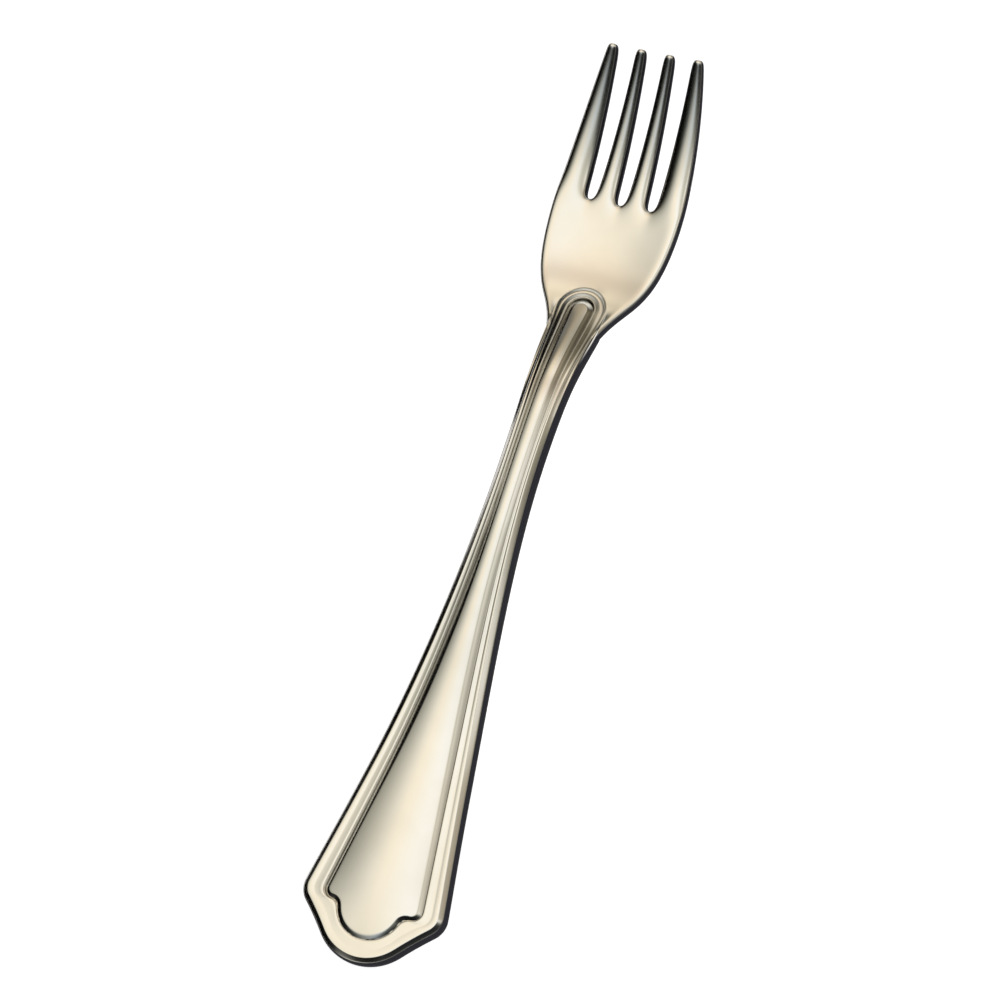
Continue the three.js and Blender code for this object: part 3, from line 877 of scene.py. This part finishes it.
def depth_shares(co):
    """How much a point is in the edge painted as a dark reflection, and in the groove painted as shade.
    """
    y, z = co.y / MM + LENGTH / 2, co.z / MM
    spot, i, distance = nearest.find((abs(co.x), co.y, 0))
    rim_share = 1 - smoothstep(distance / MM / widths[i], *RIM_BLEND)
    step_share = 1 - smoothstep(z, *WALL_BLEND)
    edge = rim_share + (step_share - rim_share) * smoothstep(y, *HEAD_BLEND)
    within_neck = y < PAST_ARCH_Y and abs(co.x) < level_points(neck_side, [co.y])[0].x
    on_handle = y < HEAD_START_Y or within_neck
    groove = smoothstep(T - z, *GROOVE_BLEND) * (1 - rim_share) if on_handle else 0
    return (1, 0) if z < WALL_TOP else (edge, groove)


# The edge mark says where the steel is rougher and painted dark as a reflection; the groove mark says
# where shade is painted.
shares = [depth_shares(v.co) for v in fork.data.vertices]
for k, name in enumerate(("rough_edge_painted_dark", "groove_painted_shade")):
    layer = fork.data.attributes.new(name, "FLOAT", "POINT")
    layer.data.foreach_set("value", [share[k] for share in shares])
    print(name, "covers", round(sum(share[k] for share in shares) / len(shares), 2), "of the points")

# %% [markdown]
# The last stroke of the press bends the flat fork and dishes its palm. A lattice round the fork is
# the die: its lower layer takes the height of the underside, its upper layer the thickness above
# that, and its sides the dish of the palm. One lattice bends both pieces of relief and the weld
# together, which a bend of each piece would not.

# %% Press
FLAT_END_Y = 30
CREST_Y, CREST_HEIGHT = 91.6, 4
TIP_HEIGHT = 8.6
DISH_DEPTH = 0.6
ARCH_TOP_Y = ARCH_Y + 4.55


def underside_height(y):
    """The height of the underside: flat under the handle, up to a crest, down, and up the tines."""
    crest = smoothstep(y, FLAT_END_Y, CREST_Y) * (1 - smoothstep(y, CREST_Y, BOWL_Y))
    return CREST_HEIGHT * crest + TIP_HEIGHT * max(0, (y - BOWL_Y) / (LENGTH - BOWL_Y)) ** 2


def thickness_scale(y):
    """How much thicker the pressed fork is than the flat one."""
    stem = 1 + (NECK_THICKNESS / STEM_THICKNESS - 1) * smoothstep(y, FLAT_END_Y, WAIST_Y)
    arch = smoothstep(y, HEAD_START_Y, ARCH_TOP_Y)
    palm = ARCH_THICKNESS / STEM_THICKNESS
    taper = max(0, (y - ROOT_Y) / (LENGTH - ROOT_Y))
    tip = TIP_THICKNESS / HEAD_FLAT
    return (stem + (palm - stem) * arch) * (1 - taper) + tip * taper


def dish_height(x, y):
    """How far the sides of the palm rise above its middle line."""
    fade = smoothstep(y, HEAD_START_Y, BOWL_Y) * (1 - smoothstep(y, BOWL_Y, LENGTH) / 2)
    return DISH_DEPTH * fade * (x / HEAD_HALF) ** 2


REST_LIFT = 0.012
PRESS_GRID = (9, 64, 2)
SHARP_ANGLE = math.radians(38)


def pressed_height(x, y, z):
    """The height of a point once the fork is bent and dished; it hovers a hair above the floor."""
    return REST_LIFT + underside_height(y) + dish_height(x, y) + z * thickness_scale(y)


press(fork, "press_die", (-16, -5, 0), (16, LENGTH + 5, 4), PRESS_GRID, pressed_height)
bpy.ops.object.shade_smooth_by_angle(angle=SHARP_ANGLE)
low, high = Vector(fork.bound_box[0]), Vector(fork.bound_box[6])
print("pressed:", [round(v / MM, 2) for v in low], [round(v / MM, 2) for v in high])

# %% [markdown]
# Polished stainless steel. It is 18/8 steel, pressed and then buffed on a cloth wheel along its
# length, which leaves a mirror that is a little soft, with faint lines along the fork and cloudy
# patches where it was handled. To the eye it is a warm white where it shows the room's light.
# A metal's colour is the colour of its reflection, so the tones are set in Base Color.

# %% Steel: where the marks are
STEEP_WALL, LEVEL_TOP = 0.68, 0.84
steel = bpy.data.materials.new("polished_stainless_steel")
steel.use_nodes = True
tree = steel.node_tree
tree.nodes.clear()
surface = add_node(tree, "ShaderNodeNewGeometry")
normal = add_node(tree, "ShaderNodeSeparateXYZ", {0: surface.outputs["Normal"]})
level = add_node(tree, "ShaderNodeMath", {0: normal.outputs["Z"]}, operation="ABSOLUTE")
# Only the steep faces of the marked edge get the painted dark reflection and the rougher polish.
steep = add_node(tree, "ShaderNodeMapRange", {0: level.outputs[0]},
                 {1: STEEP_WALL, 2: LEVEL_TOP, 3: 1, 4: 0}, interpolation_type="SMOOTHSTEP")
edge_mark = add_node(tree, "ShaderNodeAttribute", attribute_name="rough_edge_painted_dark")
edge_share = add_node(tree, "ShaderNodeMath", {0: steep.outputs[0], 1: edge_mark.outputs["Fac"]},
                      operation="MULTIPLY")
# The groove mark says where shade is painted into the steel's colour.
groove_mark = add_node(tree, "ShaderNodeAttribute", attribute_name="groove_painted_shade")
spot = add_node(tree, "ShaderNodeTexCoord")
print("marks that the steel reads:", edge_mark.attribute_name, "and", groove_mark.attribute_name)

# %% [markdown]
# Three patterns, each sized in real millimetres. Buffing lines on real steel are a few hundredths
# of a millimetre wide, too fine to show here, so they are drawn 0.25 mm wide and 9 mm long.
# Shearing leaves short upright lines on the edge, drawn 0.2 mm wide. Handling leaves cloudy patches
# about 8 mm across.

# %% Steel: patterns
patterns = {}
sizes = {"buffing": (0.25, 9, 0.25), "shearing": (0.2, 0.2, 4), "handling": (8, 8, 8)}
for name, size in sizes.items():
    scale = [1 / (v * MM) for v in size]
    sized = add_node(tree, "ShaderNodeMapping", {"Vector": spot.outputs["Object"]}, {"Scale": scale})
    patterns[name] = add_node(tree, "ShaderNodeTexNoise", {"Vector": sized.outputs[0]},
                              {"Scale": 1.0, "Detail": 3.0, "Roughness": 0.55})
    print(name, "pattern:", size, "mm")

# %% [markdown]
# The colours. The top is a warm white that clouds over slightly, the deep groove is painted darker
# and browner as painted shade, and the edge is painted dark as a painted reflection, with its upright
# lines.

# %% Steel: colours and shine
GROOVE_SHADE_STRENGTH = 0.45
TOP_ROUGHNESS = (0.15, 0.19)
EDGE_ROUGHNESS = 0.34
LINE_DEPTH = 0.0012 * MM
top = add_node(tree, "ShaderNodeMix", {"Factor": patterns["handling"].outputs[0]},
               {6: linear("#fffcf5"), 7: linear("#f8f4ea")}, data_type="RGBA")
# Painted shade: the bottom of the deep groove is mixed towards a dark brown grey.
painted_groove_shade = add_node(tree, "ShaderNodeMath", {0: groove_mark.outputs["Fac"]}, {1: GROOVE_SHADE_STRENGTH},
                  operation="MULTIPLY")
top_and_groove_shade = add_node(tree, "ShaderNodeMix", {"Factor": painted_groove_shade.outputs[0], 6: top.outputs[2]},
                   {7: linear("#6c675e")}, data_type="RGBA")
# Painted reflection: the edge's dark tone stands for the dark room that its walls would mirror.
edge_reflection_tone = add_node(tree, "ShaderNodeMix", {"Factor": patterns["shearing"].outputs[0]},
                     {6: linear("#28282c"), 7: linear("#34343a")}, data_type="RGBA")
tone = add_node(tree, "ShaderNodeMix",
                {"Factor": edge_share.outputs[0], 6: top_and_groove_shade.outputs[2], 7: edge_reflection_tone.outputs[2]},
                data_type="RGBA")
cloud = add_node(tree, "ShaderNodeMapRange", {0: patterns["handling"].outputs[0]},
                 {1: 0.3, 2: 0.7, 3: TOP_ROUGHNESS[0], 4: TOP_ROUGHNESS[1]})
shine = add_node(tree, "ShaderNodeMix", {"Factor": edge_share.outputs[0], 2: cloud.outputs[0]},
                 {3: EDGE_ROUGHNESS})
relief_map = add_node(tree, "ShaderNodeBump", {"Height": patterns["buffing"].outputs[0]},
                      {"Strength": 1.0, "Distance": LINE_DEPTH})
shader = add_node(tree, "ShaderNodeBsdfPrincipled",
                  {"Base Color": tone.outputs[2], "Roughness": shine.outputs[0],
                   "Normal": relief_map.outputs[0]},
                  {"Metallic": 1.0, "Specular Tint": linear("#bcbcbc")})
add_node(tree, "ShaderNodeOutputMaterial", {"Surface": shader.outputs[0]})
fork.data.materials.clear()
fork.data.materials.append(steel)
print("steel:", len(tree.nodes), "nodes")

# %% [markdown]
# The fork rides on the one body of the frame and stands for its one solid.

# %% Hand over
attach(fork, "root")
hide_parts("fork")
